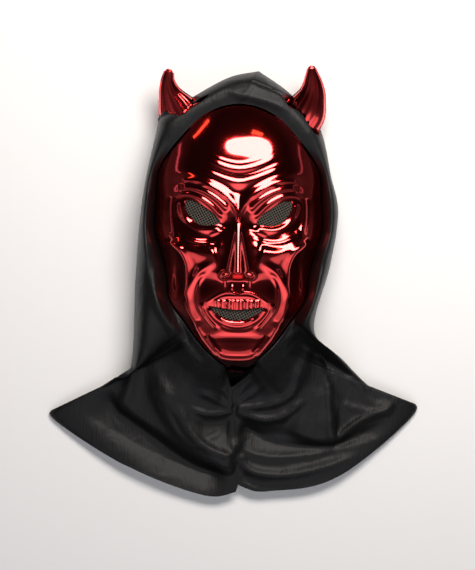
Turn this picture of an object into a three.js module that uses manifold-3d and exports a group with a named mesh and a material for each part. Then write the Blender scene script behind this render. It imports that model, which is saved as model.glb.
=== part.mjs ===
import * as THREE from 'three';
import { mergeVertices } from 'three/addons/utils/BufferGeometryUtils.js';
import Module from 'manifold-3d';

// A devil mask with its hood, lying face up. Millimetres, +Z up, +Y from the chin to the horns.
// The origin is on the floor under the middle of the face. The hood is a flat bag of thin cloth:
// its back layer lies on the floor and the mask rests on that, inside the hood's face opening.

const wasm = await Module();
wasm.setup();

// Driving dimensions
const FACE_MIDDLE = 10;
const ABOVE_FACE = 160;
const WALL = 1.2;
const ARCH = { forehead: 2.4, cheeks: 3, from: 100, to: 20, edge: 30 };
const GAP = 0.4;
const CLOTH = 2;
const FLAP_LEVEL = 14;
const SEWN_EDGE = 4;
const GAUZE = 0.8;
const GAUZE_MARGIN = 4;
const HORN_RIM = 0.5;
const HEM_OVERRUN = 4;
const HOLLOW_DEPTH = 60;
const LEAST_HOLLOW = 0.15;
const CUT_MARGIN = 0.6;
const THINNEST_HORN = 0.3;
const GAUZE_FLOOR = 20;
const HOOD_MIDDLE = -150;
const ROLL = { sides: 20, top: 3, from: 0.35, to: 0.8 };
const ROUND_POWER = 5;
const FLAT_POWER = 8;
const RELIEF_FADE = 8;
const FACING_UP_POWER = 0.25;
const EVEN_SHARE = 0.6;
const OUTLINE_STEPS = 720;
const MERGE_WITHIN = 1e-3;
const OPENING = { out: 0.965, furtherIn: 0.105, from: 0.5, to: 0.93 };
const FACE_STEPS = { around: 48, out: 21 };
const HOOD_STEPS = { between: 2, out: 7 };
const HORN_STEPS = { along: 9, round: 7 };

// The rim of the mask from the top of the forehead round one side to the chin: x, y, height of the rim.
const RIM = [
  [0, 157, 38], [40, 145, 34], [68, 116, 24], [83.5, 84, 8], [88.5, 42, 3], [88.5, 6, 3],
  [82, -14, 3], [76, -38, 4], [72.5, -63, 8], [55, -89, 15], [31, -118.5, 22], [12, -133, 25],
  [0, -134.5, 25],
];

// Middle line of the plain dome from the top of the forehead to the chin: y, height.
const PROFILE = [
  [157, 38], [153, 47], [138, 57.8], [107, 71.8], [86, 76.8], [62, 78], [10, 78], [-50, 77.4], [-75, 74.4],
  [-88, 72.4], [-97, 69.7], [-105, 69.8], [-114, 69.9], [-118, 69], [-122, 65], [-126, 57], [-131, 42],
  [-134.5, 25],
];

// Broad forms of the face: x, y, half size across, half size along, height. Off the middle they are paired.
const FORMS = [
  [0, 30, 12, 12, 5], [0, -8, 7, 18, 8], [0, -27, 9, 13, 11], [0, -38, 9, 6, 5], [12, -38, 6, 7, 6],
  [36, 25, 22, 14, -8], [15, 18, 7, 8, -5], [44, -12, 20, 12, 5],
  [62, -45, 6, 22, -4], [0, -60, 30, 14, 3], [0, -76, 22, 8, -5],
];

// Raised folds of the face, paired: height, half width, then points x, y along the fold.
const FOLDS = [
  [4, 5, [[45, 60], [36, 57], [24, 51], [12, 42], [4, 32]]],
  [6, 6, [[66, 50], [50, 52], [38, 48], [28, 43], [20, 37], [13, 29]]],
  [4, 5, [[72, -4], [60, -12], [53, -26], [52, -43], [56, -61]]],
  [5, 5, [[23, -23], [32, -28], [44, -41], [50, -58], [49, -66], [37, -89]]],
  [3, 4, [[32, -62], [22, -56], [11, -53], [0, -55]]],
  [5, 4, [[24, -80], [12, -88], [0, -90]]],
];

// Openings, one half of the mouth and one whole eye: points x, y.
const EYE = [
  [54, 38], [47.5, 38.5], [40, 35.8], [33, 31.3], [26, 26.3], [20, 20.2], [18, 17.3],
  [20.5, 14.3], [25, 13.5], [33.3, 13], [41, 14.8], [46.5, 18], [51, 24.5], [54.2, 31],
];
const MOUTH_HALF = [
  [0, -70.8], [11, -69.8], [22, -68], [28.5, -67.5], [24, -73.5], [17.5, -78], [10, -81.3], [0, -82.5],
];

// Horn centre lines from inside the forehead to the tip: x, y, height of the open back, half width.
const HORN_LEFT = [
  [54, 112, 28, 20], [66, 131, 31, 21], [72.4, 147, 35, 14.5], [73.7, 158, 38, 10],
  [72.8, 167.8, 41, 6.2], [72.1, 174, 43, 3.8], [71.6, 177, 44, 1.4],
];
const HORN_RIGHT = [
  [-52, 112, 28, 19], [-62.5, 130, 31, 20.5], [-71, 147.3, 35, 11.5], [-73.6, 159.3, 38, 6.6],
  [-72.7, 168, 41, 4], [-71.8, 171.2, 43, 1.4],
];

// Hood stations round the face opening: direction of the opening's edge from the middle of the face
// in degrees, x and y of the outer edge, how flat the cloth lies there, and how open the bag is there.
const STATIONS = [
  [90, 19, 173.6, 0, 0], [67, 52.6, 149.5, 0, 0], [55.6, 82, 115.5, 0, 0], [33, 94, 66, 0, 0],
  [11, 101.8, 29, 0, 0], [-25, 94.3, -25, 0, 0], [-52, 78.7, -91.5, 0.05, 0], [-59, 109.2, -122.1, 0.5, 0],
  [-66, 135.5, -148, 0.9, 0], [-71, 158, -162, 1, 0], [-76, 185.2, -174.7, 1, 0], [-82, 103.5, -243, 1, 1],
  [-86.5, 34.4, -258, 1, 1], [-92, 6, -258, 1, 1], [-94, -30.5, -263, 1, 1], [-99.7, -108.4, -235, 1, 1],
  [-107.8, -188.7, -186, 1, 0], [-110.5, -175, -174.5, 0.95, 0], [-112.5, -150, -162, 0.85, 0],
  [-115.5, -133, -149.3, 0.65, 0], [-122.7, -108.8, -135.4, 0.38, 0], [-142, -104.5, -42.3, 0.08, 0],
  [-183, -100.7, 17.7, 0, 0], [-211, -95, 61, 0, 0], [-232, -84.5, 111.5, 0, 0], [-242.7, -79.5, 126, 0, 0],
  [-256.5, -48.7, 145.6, 0, 0], [-263.5, -12, 166.3, 0, 0],
];
const NOTCH = [[-19, -124], [14, -130], [3, -141], [-5, -150], [-11, -141]];

const radians = THREE.MathUtils.degToRad;

// Cubic through the values at increasing places, level at both ends.
function through(places, values, place) {
  const last = places.length - 1;
  const slope = (i) => (i <= 0 || i >= last ? 0
    : (values[i + 1] - values[i - 1]) / (places[i + 1] - places[i - 1]));
  const clamped = THREE.MathUtils.clamp(place, places[0], places[last]);
  let i = 0;
  while (i < last - 1 && clamped > places[i + 1]) i += 1;
  const width = places[i + 1] - places[i];
  const t = (clamped - places[i]) / width;
  const t2 = t * t;
  const t3 = t2 * t;
  return (2 * t3 - 3 * t2 + 1) * values[i] + (t3 - 2 * t2 + t) * width * slope(i)
    + (3 * t2 - 2 * t3) * values[i + 1] + (t3 - t2) * width * slope(i + 1);
}

// Radius and height of the rim in a direction from the middle of the face; both sides are alike.
const rimTurns = RIM.map(([x, y]) => Math.PI / 2 - Math.atan2(y - FACE_MIDDLE, x));
const rimRadii = RIM.map(([x, y]) => Math.hypot(x, y - FACE_MIDDLE));
const rimHeights = RIM.map(([, , z]) => z);
function rimToward(angle) {
  const turn = Math.abs(Math.atan2(Math.cos(angle), Math.sin(angle)));
  return { radius: through(rimTurns, rimRadii, turn), height: through(rimTurns, rimHeights, turn) };
}

// Half width of the face and height of its side rim along its length, read off the rim.
const outline = Array.from({ length: OUTLINE_STEPS + 1 }, (_, i) => {
  const angle = Math.PI / 2 - (i / OUTLINE_STEPS) * Math.PI;
  const { radius, height } = rimToward(angle);
  return { x: radius * Math.cos(angle), y: FACE_MIDDLE + radius * Math.sin(angle), z: height };
});
function sideAt(y) {
  const after = outline.findIndex((point) => point.y <= y);
  if (after <= 0) return after < 0 ? outline.at(-1) : outline[0];
  const [high, low] = [outline[after - 1], outline[after]];
  const t = (high.y - y) / (high.y - low.y);
  return { x: high.x + (low.x - high.x) * t, z: high.z + (low.z - high.z) * t };
}

// Power of the arch: round over the forehead, squarer over the cheeks.
function archPower(y) {
  const low = THREE.MathUtils.smoothstep(-y, -ARCH.from, -ARCH.to);
  return ARCH.forehead + (ARCH.cheeks - ARCH.forehead) * low;
}

// Plain dome: an arch across the face from one side rim over the middle line to the other.
const profileFalls = PROFILE.map(([y]) => -y);
const profileHeights = PROFILE.map(([, z]) => z);
function dome(x, y) {
  const side = sideAt(y);
  const across = Math.min(Math.abs(x) / Math.max(side.x, 0.01), 1);
  const middle = through(profileFalls, profileHeights, -y);
  return side.z + (middle - side.z) * (1 - across ** archPower(y) / 2) * Math.sqrt(1 - across ** ARCH.edge);
}

function distanceToPath(x, y, path) {
  let nearest = Infinity;
  for (let i = 0; i < path.length - 1; i += 1) {
    const [ax, ay] = path[i];
    const dx = path[i + 1][0] - ax;
    const dy = path[i + 1][1] - ay;
    const t = THREE.MathUtils.clamp(((x - ax) * dx + (y - ay) * dy) / (dx * dx + dy * dy), 0, 1);
    nearest = Math.min(nearest, Math.hypot(x - ax - t * dx, y - ay - t * dy));
  }
  return nearest;
}

// Height of the features above the plain dome.
function relief(x, y) {
  let height = 0;
  for (const [fx, fy, across, along, rise] of FORMS) {
    height += rise * Math.exp(-(((Math.abs(x) - fx) / across) ** 2) - ((y - fy) / along) ** 2);
  }
  for (const [rise, width, path] of FOLDS) {
    height += rise * Math.exp(-((distanceToPath(Math.abs(x), y, path) / width) ** 2));
  }
  return height;
}

// Point of the face in a direction, from the middle (out 0) to the rim (out 1), moved inwards by an inset.
function facePoint(angle, out, inset) {
  const rim = rimToward(angle);
  const x = rim.radius * out * Math.cos(angle);
  const y = FACE_MIDDLE + rim.radius * out * Math.sin(angle);
  const shrink = 1 - inset / rim.radius;
  const z = dome(x, y) + relief(x, y) * (1 - out ** RELIEF_FADE);
  const facingUp = (1 - out ** archPower(y)) ** FACING_UP_POWER;
  return [x * shrink, FACE_MIDDLE + (y - FACE_MIDDLE) * shrink, z - inset * facingUp];
}

// Closed solid through a row of closed rings with equal counts, ended by two points.
function loft(start, rings, end) {
  const count = rings[0].length;
  const positions = [start, ...rings.flat(), end].flat();
  const finish = 1 + rings.length * count;
  const index = [];
  for (let i = 0; i < count; i += 1) {
    const j = (i + 1) % count;
    index.push(0, 1 + i, 1 + j);
    for (let ring = 0; ring < rings.length - 1; ring += 1) {
      const here = 1 + ring * count;
      const next = here + count;
      index.push(here + i, next + i, next + j, here + i, next + j, here + j);
    }
    const last = finish - count;
    index.push(finish, last + j, last + i);
  }
  const geometry = new THREE.BufferGeometry();
  geometry.setAttribute('position', new THREE.Float32BufferAttribute(positions, 3));
  geometry.setIndex(index);
  return solidOf(geometry);
}

function solidOf(geometry) {
  const bare = geometry.clone();
  bare.deleteAttribute('normal');
  bare.deleteAttribute('uv');
  const merged = mergeVertices(bare, MERGE_WITHIN);
  return new wasm.Manifold(new wasm.Mesh({
    numProp: 3,
    vertProperties: new Float32Array(merged.attributes.position.array),
    triVerts: new Uint32Array(merged.index.array),
  }));
}

function geometryOf(solid) {
  const mesh = solid.getMesh();
  const geometry = new THREE.BufferGeometry();
  geometry.setAttribute('position', new THREE.Float32BufferAttribute(mesh.vertProperties, 3));
  geometry.setIndex(Array.from(mesh.triVerts));
  geometry.computeVertexNormals();
  return geometry;
}

function prism(outline, low, high) {
  const shape = new THREE.Shape(outline.map(([x, y]) => new THREE.Vector2(x, y)));
  const geometry = new THREE.ExtrudeGeometry(shape, { depth: high - low, bevelEnabled: false });
  return solidOf(geometry.translate(0, 0, low));
}

// The face as a full block. With no floor it ends at the rim; with one it goes straight down to it.
function faceBlock(inset, floor) {
  const rings = [];
  for (let step = 1; step <= FACE_STEPS.out; step += 1) {
    const share = step / FACE_STEPS.out;
    const out = EVEN_SHARE * share + (1 - EVEN_SHARE) * Math.sin(share * Math.PI / 2);
    const ring = [];
    for (let turn = 0; turn < FACE_STEPS.around; turn += 1) {
      ring.push(facePoint((turn / FACE_STEPS.around) * 2 * Math.PI, out, inset));
    }
    rings.push(ring);
  }
  if (floor !== undefined) rings.push(rings.at(-1).map(([x, y]) => [x, y, floor]));
  return loft(facePoint(0, 0, inset), rings, [0, FACE_MIDDLE, floor ?? 0]);
}

// One horn as a full half cone: half-ellipse sections across its centre line, flat behind.
// Its hollow stops short of the tip by twice the wall.
function hornBlock(line, inset, deeper) {
  const centre = new THREE.CatmullRomCurve3(line.map(([x, y, z]) => new THREE.Vector3(x, y, z)));
  const widths = line.map(([, , , width]) => width);
  const places = line.map((_, i) => i / (line.length - 1));
  const reach = 1 - Math.max(0, (2 * inset) / centre.getLength());
  const rings = [];
  for (let step = 0; step <= HORN_STEPS.along; step += 1) {
    const t = (step / HORN_STEPS.along) * reach;
    const middle = centre.getPoint(t);
    const tangent = centre.getTangent(t);
    const across = new THREE.Vector3(tangent.y, -tangent.x, 0).normalize();
    const half = Math.max(through(places, widths, t) - inset, THINNEST_HORN);
    const ring = [];
    for (let i = 0; i <= HORN_STEPS.round; i += 1) {
      const turn = (i / HORN_STEPS.round) * Math.PI;
      const side = half * Math.cos(turn);
      ring.push([middle.x + across.x * side, middle.y + across.y * side, middle.z + half * Math.sin(turn)]);
    }
    for (const side of [-half, half]) {
      ring.push([middle.x + across.x * side, middle.y + across.y * side, middle.z - deeper]);
    }
    rings.push(ring);
  }
  const end = (ring) => [0, 1, 2].map((k) => ring.reduce((sum, p) => sum + p[k], 0) / ring.length);
  return loft(end(rings[0]), rings, end(rings.at(-1)));
}

const mirrored = (outline) => [...outline].reverse().map(([x, y]) => [-x, y]);
const MOUTH = [...MOUTH_HALF, ...mirrored(MOUTH_HALF).slice(1, -1)];

function grown(outline, margin) {
  const mx = outline.reduce((sum, [x]) => sum + x, 0) / outline.length;
  const my = outline.reduce((sum, [, y]) => sum + y, 0) / outline.length;
  return outline.map(([x, y]) => {
    const reach = Math.hypot(x - mx, y - my);
    return [x + ((x - mx) * margin) / reach, y + ((y - my) * margin) / reach];
  });
}

function maskShell() {
  let outer = faceBlock(0);
  let inner = faceBlock(WALL, -HOLLOW_DEPTH);
  for (const line of [HORN_LEFT, HORN_RIGHT]) {
    outer = outer.add(hornBlock(line, 0, HORN_RIM));
    inner = inner.add(hornBlock(line, WALL, HOLLOW_DEPTH));
  }
  let shell = outer.subtract(inner);
  for (const outline of [EYE, mirrored(EYE), MOUTH]) shell = shell.subtract(prism(outline, 0, ABOVE_FACE));
  return shell;
}

// A thin sheet of gauze just behind the wall, a little larger than its opening.
function gauze(outline) {
  const front = WALL + GAP;
  const sheet = faceBlock(front, -1).subtract(faceBlock(front + GAUZE, -2));
  return sheet.intersect(prism(grown(outline, GAUZE_MARGIN), GAUZE_FLOOR, ABOVE_FACE));
}

// How far out on the mask the edge of the face opening lies: further in over the forehead.
function openingOut(angle) {
  const high = THREE.MathUtils.smoothstep(Math.sin(angle), OPENING.from, OPENING.to);
  return OPENING.out - OPENING.furtherIn * high;
}

// The hood as a full block: the front from the face opening to the outer edge, then the back.
// Inset, it is the hollow of the bag: inside the sewn edges, but out through the open hem.
function hoodBlock(inset) {
  const back = inset > 0 ? CLOTH : 0;
  const outerEdge = new THREE.CatmullRomCurve3(
    STATIONS.map(([, x, y]) => new THREE.Vector3(x, y, 0)), true, 'centripetal');
  const count = STATIONS.length * HOOD_STEPS.between;
  const value = (i, pick) => {
    const k = Math.floor(i / HOOD_STEPS.between);
    const t = (i % HOOD_STEPS.between) / HOOD_STEPS.between;
    const ends = [STATIONS[k], STATIONS[(k + 1) % STATIONS.length]].map(pick);
    return ends[0] + (ends[1] - ends[0]) * t;
  };
  const rings = Array.from({ length: HOOD_STEPS.out + 2 }, () => []);
  for (let i = 0; i < count; i += 1) {
    let angle = value(i, (station) => station[0]);
    if (i > count - HOOD_STEPS.between) {
      const t = (i % HOOD_STEPS.between) / HOOD_STEPS.between;
      angle = STATIONS.at(-1)[0] + (STATIONS[0][0] - 360 - STATIONS.at(-1)[0]) * t;
    }
    const open = value(i, (station) => station[4]);
    const flat = value(i, (station) => station[3]);
    const [ax, ay, az] = facePoint(radians(angle), openingOut(radians(angle)), -GAP - CLOTH);
    const edge = outerEdge.getPoint(i / count);
    const along = outerEdge.getTangent(i / count);
    const inwards = inset * (1 - HEM_OVERRUN * open);
    const bx = edge.x + along.y * inwards;
    const by = edge.y - along.x * inwards;
    const top = THREE.MathUtils.smoothstep(Math.sin(radians(angle)), ROLL.from, ROLL.to);
    const roll = ROLL.sides + (ROLL.top - ROLL.sides) * top;
    const level = az + roll * (1 - flat) + (FLAP_LEVEL - az) * flat;
    const low = SEWN_EDGE + (FLAP_LEVEL - SEWN_EDGE) * open;
    for (let step = 0; step <= HOOD_STEPS.out; step += 1) {
      const share = Math.sin((step / HOOD_STEPS.out) * (Math.PI / 2));
      const power = ROUND_POWER + (FLAT_POWER - ROUND_POWER) * flat;
      const z = low + (level - low) * Math.sqrt(1 - share ** power) + (az - level) * (1 - share) ** 4;
      const under = inset > 0 ? Math.max(z - CLOTH, CLOTH + LEAST_HOLLOW) : z;
      rings[step].push([ax + (bx - ax) * share, ay + (by - ay) * share, under]);
    }
    rings.at(-1).push([bx, by, back]);
  }
  rings.forEach((ring) => ring.reverse());
  return loft([0, FACE_MIDDLE, ABOVE_FACE / 4], rings, [0, HOOD_MIDDLE, back]);
}

function hood() {
  let bag = hoodBlock(0).subtract(hoodBlock(CLOTH + GAP));
  const opening = [];
  for (let turn = 0; turn < FACE_STEPS.around; turn += 1) {
    const angle = (turn / FACE_STEPS.around) * 2 * Math.PI;
    opening.push(facePoint(angle, openingOut(angle), -GAP - CLOTH - CUT_MARGIN));
  }
  bag = bag.subtract(prism(opening, CLOTH + GAP, ABOVE_FACE));
  bag = bag.subtract(prism(NOTCH, CLOTH + GAP, ABOVE_FACE));
  bag = bag.subtract(faceBlock(-GAP, CLOTH + GAP / 2));
  for (const line of [HORN_LEFT, HORN_RIGHT]) {
    bag = bag.subtract(hornBlock(line, -GAP, HORN_RIM + GAP));
  }
  return bag;
}

// The hood is one sewn bag. Its flat back is a node of its own, a gap below its front, so that the
// collision pieces of the front leave the room inside the bag open.
function hoodLayers() {
  const bag = hood();
  return { front: bag.trimByPlane([0, 0, 1], CLOTH + GAP), back: bag.trimByPlane([0, 0, -1], -CLOTH) };
}

function piece(name, solid, look) {
  const mesh = new THREE.Mesh(geometryOf(solid), new THREE.MeshStandardMaterial(look));
  mesh.name = name;
  return mesh;
}

const redMirror = { color: 0xb5121b, roughness: 0.1, metalness: 1 };
const blackGauze = { color: 0x34362f, roughness: 0.8, metalness: 0 };
const blackSatin = { color: 0x141416, roughness: 0.42, metalness: 0 };

const mask = new THREE.Group();
mask.add(piece('mask_shell', maskShell(), redMirror));
mask.add(piece('eye_mesh_left', gauze(EYE), blackGauze));
mask.add(piece('eye_mesh_right', gauze(mirrored(EYE)), blackGauze));
mask.add(piece('mouth_mesh', gauze(MOUTH), blackGauze));
const { front, back } = hoodLayers();
mask.add(piece('hood_front', front, blackSatin));
mask.add(piece('hood_back', back, blackSatin));

export default mask;
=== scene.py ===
import math

import bmesh
import bpy
import numpy as np
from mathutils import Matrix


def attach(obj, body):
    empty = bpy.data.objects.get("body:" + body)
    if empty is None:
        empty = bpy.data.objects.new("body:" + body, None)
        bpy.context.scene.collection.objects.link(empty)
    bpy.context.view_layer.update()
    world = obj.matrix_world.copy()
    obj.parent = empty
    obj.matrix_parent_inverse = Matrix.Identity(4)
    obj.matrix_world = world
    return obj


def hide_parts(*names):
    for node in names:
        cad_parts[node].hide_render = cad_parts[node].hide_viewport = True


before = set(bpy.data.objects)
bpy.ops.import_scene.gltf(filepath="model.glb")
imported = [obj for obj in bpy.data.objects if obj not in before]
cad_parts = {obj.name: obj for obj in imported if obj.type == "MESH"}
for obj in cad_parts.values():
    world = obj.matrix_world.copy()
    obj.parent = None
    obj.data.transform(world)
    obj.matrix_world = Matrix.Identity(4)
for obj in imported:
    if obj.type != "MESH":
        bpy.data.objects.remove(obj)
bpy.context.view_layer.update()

# A devil mask of red mirror-finish plastic in its black satin hood, lying face up.
# Lengths are worked out in millimetres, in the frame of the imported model, and go into the meshes in metres.
# Left and right are the wearer's: left is +X.
MM = 0.001

# The face: its rim (x, y, height), the dome's middle line (y, height), and the powers of the arch between
# them. The first goes from one value to the other between two levels of y.
FACE_MIDDLE = 10
RIM = np.array([
    (0, 157, 38), (40, 145, 34), (68, 116, 24), (83.5, 84, 8), (88.5, 42, 3), (88.5, 6, 3), (82, -14, 3),
    (76, -38, 4), (72.5, -63, 8), (55, -89, 15), (31, -118.5, 22), (12, -133, 25), (0, -134.5, 25)])
PROFILE = np.array([
    (157, 38), (153, 47), (138, 57.8), (107, 71.8), (86, 76.8), (62, 78), (10, 78), (-50, 77.4), (-75, 74.4),
    (-88, 72.4), (-97, 69.7), (-105, 69.8), (-114, 69.9), (-118, 69), (-122, 65), (-126, 57), (-131, 42),
    (-134.5, 25)])
ARCH = {"forehead": 2.4, "cheeks": 3.0, "from": 100, "to": 20, "edge": 40}
OUTLINE_POINTS = 2001

# Broad forms, paired: x, y, half size across, half size along, height.
FORMS = {
    "nose wing": (13.5, -37, 4.2, 3.8, 4.5),
    "eye socket": (36, 19.5, 20, 12.5, -4),
    "inner corner of eye": (16, 14, 6, 7, -2.6),
    "cheek hollow": (61, -45, 5, 20, -4),
    "beside the nose": (19, -8, 4.5, 6.5, 1.5),
    "between the brows": (0, 47, 7, 5.5, -1.1),
    "round the mouth": (0, -62, 27, 15, 1.8),
    "mouth corner": (31, -66, 11, 15, 2.2),
    "outer cheekbone": (68, -8, 18, 11, 7),
    "under the eye": (28, -2, 11, 12, -2.6),
    "nostril side": (12.5, -43.5, 1.4, 4, 1.0),
    "lip groove": (5.4, -48.5, 1.1, 2.4, 0.9),
}

# Folds, paired: height, widths of the flanks left and right of the way they run, shares of the length
# over which they rise and fade, and their points x, y.
FOLDS = {
    "wrinkle one": (0.35, 1.6, 1.6, 0, 0.35, [(-28, 84), (-14, 78), (0, 75.5), (14, 78), (28, 84),
        (36, 91)]),
    "wrinkle two": (0.9, 3, 3.5, 0, 0.35, [(-28, 78), (-14, 72), (0, 69.5), (14, 72), (28, 78),
        (40, 85)]),
    "wrinkle three": (0.35, 1.4, 1.4, 0, 0.3, [(-29, 71), (-14, 65.2), (0, 63), (14, 65.2), (29, 71),
        (46, 78), (54, 80)]),
    "wrinkle four": (0.9, 3, 4.5, 0, 0.3, [(-29, 66), (-14, 59.8), (0, 56.3), (14, 59.8), (29, 66),
        (42, 72), (50, 74)]),
    "brow": (2.3, 5.6, 2.8, 0.05, 0.15, [(-0.5, 16), (0, 22), (3, 29), (9, 38.5), (15, 44.5), (22, 49.5),
        (34, 55.5), (46, 58.5), (58, 58.5), (66, 53)]),
    "brow line": (0.7, 1.5, 1.5, 0.2, 0.2, [(12, 39), (22, 46.5), (31, 51.5), (42, 54)]),
    "brow flank": (2, 5, 2.4, 0.1, 0.15, [(10, 27), (16, 33.5), (22, 39), (29, 43.8), (38, 48.2),
        (50, 51), (62, 50)]),
    "upper lid": (1.2, 2.4, 2, 0.1, 0.1, [(15, 20), (20, 25), (28, 33), (38, 40), (48, 44), (58, 44),
        (66, 40)]),
    "lower lid": (1.2, 2.8, 3, 0.1, 0.1, [(16, 13), (20.5, 10.5), (27, 9.2), (34, 9), (42, 11),
        (49.5, 15.5), (54.5, 22), (57.8, 31), (58, 38)]),
    "bag": (0.8, 2, 2, 0.2, 0.1, [(14, 1.5), (22, -1.5), (31, -3.6), (40, -3.6), (48, -1.5), (57, 4),
        (62, 12)]),
    "inner bag": (0.7, 2, 1.8, 0.3, 0.2, [(10, 11), (16, 8.5), (23, 5.5), (30, 3)]),
    "cheekbone": (3.4, 6.5, 13, 0.14, 0.5, [(20.5, -9.7), (24, -11), (31, -13), (40, -14.5), (50, -13),
        (59, -9), (65, -3)]),
    "outer corner": (1.8, 3.5, 3.5, 0.1, 0.2, [(66, 44), (67.5, 34), (67, 20), (65, 10), (65, 0)]),
    "cheek ridge": (3, 4, 4, 0.1, 0.1, [(73, -1), (66, -5), (58, -13), (52.8, -23), (50.7, -31),
        (51.2, -43), (53.4, -53), (56.5, -62)]),
    "smile fold": (2.8, 4.5, 4.3, 0.28, 0.1, [(19, -21.5), (25, -24.5), (31.5, -28.5), (39, -34),
        (44.5, -41.5), (48.2, -50), (49.8, -58.5), (49, -66), (45.5, -76), (37, -89)]),
    "inner fold": (0.9, 2, 1.6, 0.1, 0.1, [(33, -36), (38, -44), (39.8, -52), (39.5, -62), (36, -70),
        (30, -79), (20, -91)]),
    "upper lip": (0.36, 0.7, 1.2, 0, 0.1, [(-8, -53.2), (0, -55), (8, -53.2), (16, -54.8), (25, -60),
        (32, -65)]),
    "lip line": (0.35, 0.9, 1.3, 0, 0.1, [(-13, -57.8), (0, -57.4), (13, -57.8), (24, -62.5)]),
    "lower lip": (1.5, 3.4, 2.4, 0, 0.1, [(-10, -86.3), (0, -87.8), (10, -86.3), (20, -81.3), (26, -75.5),
        (30, -69)]),
    "lip edge": (0.6, 1, 1, 0, 0.2, [(-10, -83), (0, -84.3), (10, -83), (18, -78.5)]),
    "under lip": (0.6, 1.4, 1.4, 0, 0.1, [(-9, -90.5), (0, -91.3), (9, -90.5), (17, -87)]),
    "mouth side": (1, 1.8, 1.6, 0.1, 0.2, [(36, -64), (33, -74), (27, -83), (19, -92)]),
    "chin side": (1.1, 2.4, 2.4, 0.1, 0.1, [(30, -97), (22, -108), (16, -117)]),
    "jaw": (2, 5, 3, 0.1, 0.1, [(56, -62), (52, -71), (45, -83), (37, -95), (28.7, -106),
        (21, -116)]),
}

# Power of the bell across the face's folds, and how many widths from its path any fold reaches.
FACE_CREST = 2.0
FOLD_REACH = 3

# The nose's ridge: its start in y, the length, height and sag of its rise, the start and length of its drop,
# its half width at the bridge and how that grows, and the power of its section.
NOSE = {"bridge": 22, "length": 56, "height": 17, "sag": 0.06, "under": -33, "drop": 9.5, "slim": 3.9,
        "widening": 3.6, "power": 2.4}

# The teeth: their ends, each with the length of its fade; a tooth's width, height and power of section; size
# and rate of the waves that shift them and change their height.
TEETH = {"gum": (-60.5, 2), "end": (-76, 4), "side": (24, 4), "pitch": 4.6, "height": 1.3, "section": 0.5,
         "shift": (0.9, 0.31, 1), "uneven": (0.3, 0.7)}

# Openings: the left eye and the left half of the mouth, x and y.
EYE = np.array([
    (54, 38), (47.5, 38.5), (40, 35.8), (33, 31.3), (26, 26.3), (20, 20.2), (18, 17.3), (20.5, 14.3),
    (25, 13.5), (33.3, 13), (41, 14.8), (46.5, 18), (51, 24.5), (54.2, 31)])
MOUTH_HALF = np.array([
    (0, -70.8), (11, -69.8), (22, -68), (28.5, -67.5), (24, -73.5), (17.5, -78), (10, -81.3), (0, -82.5)])
OPENING_STEPS = 10

# The moulded sheet: its thickness, its grids as rows and columns, and how its inner side goes inwards.
SHEET = 1.2
FACE_GRID = (320, 250)
INNER_GRID = (90, 72)
INNER_POWER = 8
LEAST_RADIUS = 24

# Rows are even over the features and crowd at both ends of the face, one in 13 at the chin and two at the
# forehead, by an even share and a power. Columns crowd towards the rim.
FEATURES = {"top": 100, "foot": -120}
ROWS_PER_END = 13
TOP_ROWS = (0.1, 1.8)
CHIN_ROWS = (0.15, 1.6)
CROWDING = 0.6

# Grid points within half a cell of an opening's edge move onto it. Points are looked for within a reach.
SNAP = {"front": 0.44355, "inner": 1.58889}
OUTLINE_REACH = 3
LOOP_REACH = 4

# Centre lines of the left and the right horn from inside the forehead to the tip: x, y, height of the open
# back, half width.
HORNS = [
    np.array([
        (54, 112, 28, 20), (66, 131, 31.5, 21), (72.4, 147, 36.5, 14.5), (73.7, 158, 40.5, 10),
        (72.8, 167.8, 44, 6.2), (72.1, 174, 46, 3.8), (71.6, 177.4, 47, 3.0)]),
    np.array([
        (-52, 112, 30, 19), (-62.5, 130, 30.5, 20.5), (-71, 147.3, 38, 11.5), (-73.6, 159.3, 42.5, 6.6),
        (-72.7, 168, 45, 4.4), (-71.8, 172, 46.5, 3.4)]),
]
HORN_STEPS = 12

# Sections along a horn, closer towards the tip, and points round one; a section's shape, sheet and lip along
# the back, with the lip's corners as shares of it; flutes in a full turn; radius and height of the blunt tip.
HORN_SECTIONS = 44
HORN_CROWDING = 1.5
HORN_TURNS = 57
HORN_SECTION = {"flatness": 0.62, "power": 0.65}
HORN_SHEET = {"most": 0.9, "share": 0.4}
HORN_LIP = {"most": 1.2, "share": 0.3, "corner out": 0.9, "corner up": 0.35, "foot": 0.45}
HORN_FLUTES = {"count": 18, "depth": 0.009}
HORN_BLUNT = 3.0
HORN_TIP = 0.3

# Gauze behind the openings: thread diameter, spacing, how far it lies below the dome and goes on past the
# opening, its slant in degrees, a thread's wave and flattened height as shares of its diameter, corners of
# its section, and steps from one crossing to the next.
GAUZE = {"thread": 0.85, "pitch": 2.4, "below": 2.2, "margin": 3.4, "slant": 28, "wave": 0.45, "pressed": 0.8,
         "corners": 5, "steps": 4}

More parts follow.
